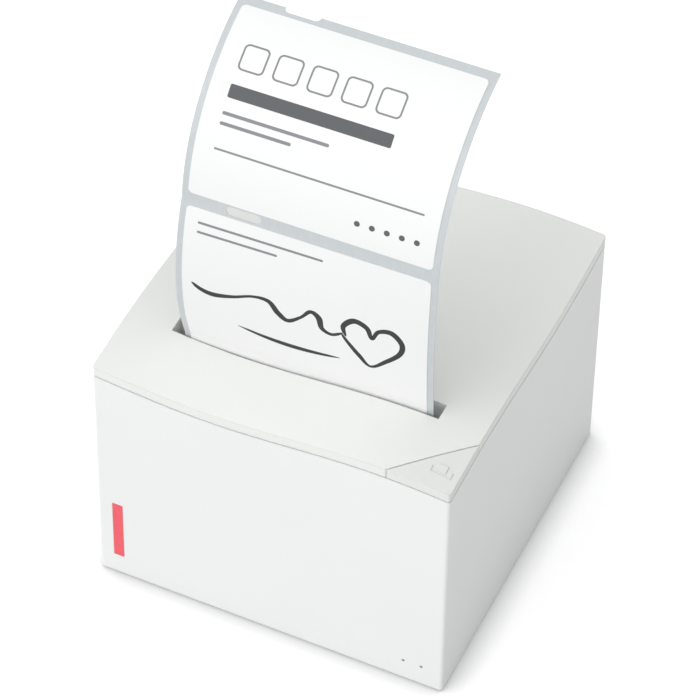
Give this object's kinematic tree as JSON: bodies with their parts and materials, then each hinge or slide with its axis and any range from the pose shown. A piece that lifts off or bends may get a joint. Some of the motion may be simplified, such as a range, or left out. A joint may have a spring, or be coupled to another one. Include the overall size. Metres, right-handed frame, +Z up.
{
  "type": "label printer",
  "caption": "Desktop printer for sticky labels: square white box with a hinged wavy lid, a corner key, a label roll inside and a printed strip curling out of a slot.",
  "frame": {"origin": "on the table, under the middle of the whole object's bounding box", "axes": "+X to the object's right seen from the front, -Y towards its front, +Z up"},
  "size_m": [0.115, 0.119, 0.1954],
  "materials": {
    "casing_white": "smooth moulded white, very slightly cool",
    "lid_white": "smooth satin white, very slightly warm",
    "grey_plastic": "moulded light grey",
    "rubber": "matte black rubber",
    "steel_sheet": "zinc-plated sheet",
    "steel_bar": "ground bar",
    "steel_screw": "zinc-plated",
    "spring_steel": "bright drawn wire",
    "head_aluminium": "milled",
    "head_ceramic": "glazed ceramic",
    "tag_red": "plain coral red tape, no lettering",
    "lamp_clear": "clear acrylic",
    "board_green": "solder mask",
    "black_plastic": "moulded black",
    "port_metal": "nickel-plated shell",
    "motor_metal": "plated can",
    "pinion_brass": "machined",
    "nylon": "natural nylon",
    "paper_liner": "glazed grey release paper",
    "paper_label": "coated thermal paper",
    "card": "brown board",
    "cable_white": "flat cable"
  },
  "bodies": {
    "base": {"base_shell": "casing_white", "base_plate": "casing_white", "rubber_feet": "rubber", "base_screws": "steel_screw", "red_tag": "tag_red", "light_pipes": "lamp_clear", "lamp_board": "board_green", "key_bracket": "grey_plastic", "latch_pin": "steel_bar", "key_spring": "spring_steel", "left_plate": "steel_sheet", "right_plate": "steel_sheet", "plate_screws": "steel_screw", "cross_bar": "steel_sheet", "paper_guide": "grey_plastic", "gap_sensor": "black_plastic", "label_web": "paper_liner", "head_pivot_rod": "steel_bar", "head_springs": "spring_steel", "head_cable": "cable_white", "motor_cable": "cable_white", "stepper_motor": "motor_metal", "motor_screws": "steel_screw", "idler_axle": "steel_bar", "main_board": "board_green", "board_parts": "black_plastic", "board_screws": "steel_screw", "power_inlet": "black_plastic", "data_port": "port_metal", "power_switch": "black_plastic", "hinge_pins": "steel_bar"},
    "lid": {"lid_shell": "lid_white", "slot_liner": "grey_plastic", "label_strip": "paper_liner", "lower_label": "paper_label", "upper_label": "paper_label", "platen_carrier": "grey_plastic", "carrier_screws": "steel_screw", "platen_bushes": "nylon"},
    "platen": {"platen_rubber": "rubber", "platen_shaft": "steel_bar", "platen_gear": "nylon"},
    "idler": {"idler_gear": "nylon"},
    "rotor": {"motor_shaft": "steel_bar", "motor_pinion": "pinion_brass"},
    "roll": {"label_roll": "paper_label", "roll_core": "card", "roll_hubs": "nylon", "roll_spindle": "steel_bar"},
    "head": {"thermal_head": "head_ceramic", "head_sink": "head_aluminium"},
    "key": {"corner_key": "lid_white"},
    "latch": {"latch_lever": "grey_plastic"},
    "button": {"power_button": "lid_white"}
  },
  "joints": [
    {"name": "lid_open", "type": "hinge", "parent": "base", "child": "lid", "pos_m": [0, 0.0571, 0.083], "axis": [-1, 0, 0], "range_deg": [0, 100]},
    {"name": "platen_spin", "type": "hinge", "parent": "lid", "child": "platen", "pos_m": [0, -0.0278, 0.073], "axis": [-1, 0, 0], "continuous": true},
    {"name": "roll_spin", "type": "hinge", "parent": "base", "child": "roll", "pos_m": [0, 0.012, 0.036], "axis": [-1, 0, 0], "continuous": true},
    {"name": "idler_spin", "type": "hinge", "parent": "base", "child": "idler", "pos_m": [0, -0.0278, 0.05], "axis": [-1, 0, 0], "continuous": true},
    {"name": "rotor_spin", "type": "hinge", "parent": "base", "child": "rotor", "pos_m": [0, -0.04194, 0.03586], "axis": [-1, 0, 0], "continuous": true},
    {"name": "head_press", "type": "hinge", "parent": "base", "child": "head", "pos_m": [0, -0.03189, 0.05695], "axis": [1, 0, 0], "range_deg": [0, 3], "stiffness_Nm_per_rad": 0.6, "springref_deg": -8.59, "deforming": ["head_springs"]},
    {"name": "key_press", "type": "slide", "parent": "base", "child": "key", "axis": [0, 0, -1], "range_m": [0, 0.0004], "stiffness_N_per_m": 700, "springref_m": -0.002, "deforming": ["key_spring"]},
    {"name": "latch_release", "type": "hinge", "parent": "base", "child": "latch", "pos_m": [0.05, -0.047, 0.07], "axis": [1, 0, 0], "range_deg": [0, 6]},
    {"name": "power_press", "type": "slide", "parent": "base", "child": "button", "axis": [0, -1, 0], "range_m": [0, 0.0008], "stiffness_N_per_m": 800, "springref_m": -0.001}
  ],
  "couplings": [
    {"joint": "platen_spin", "follows": "roll_spin", "ratio": 4.6667},
    {"joint": "idler_spin", "follows": "roll_spin", "ratio": -3},
    {"joint": "rotor_spin", "follows": "roll_spin", "ratio": 7},
    {"joint": "latch_release", "follows": "key_press", "rad_per_m": 250}
  ]
}
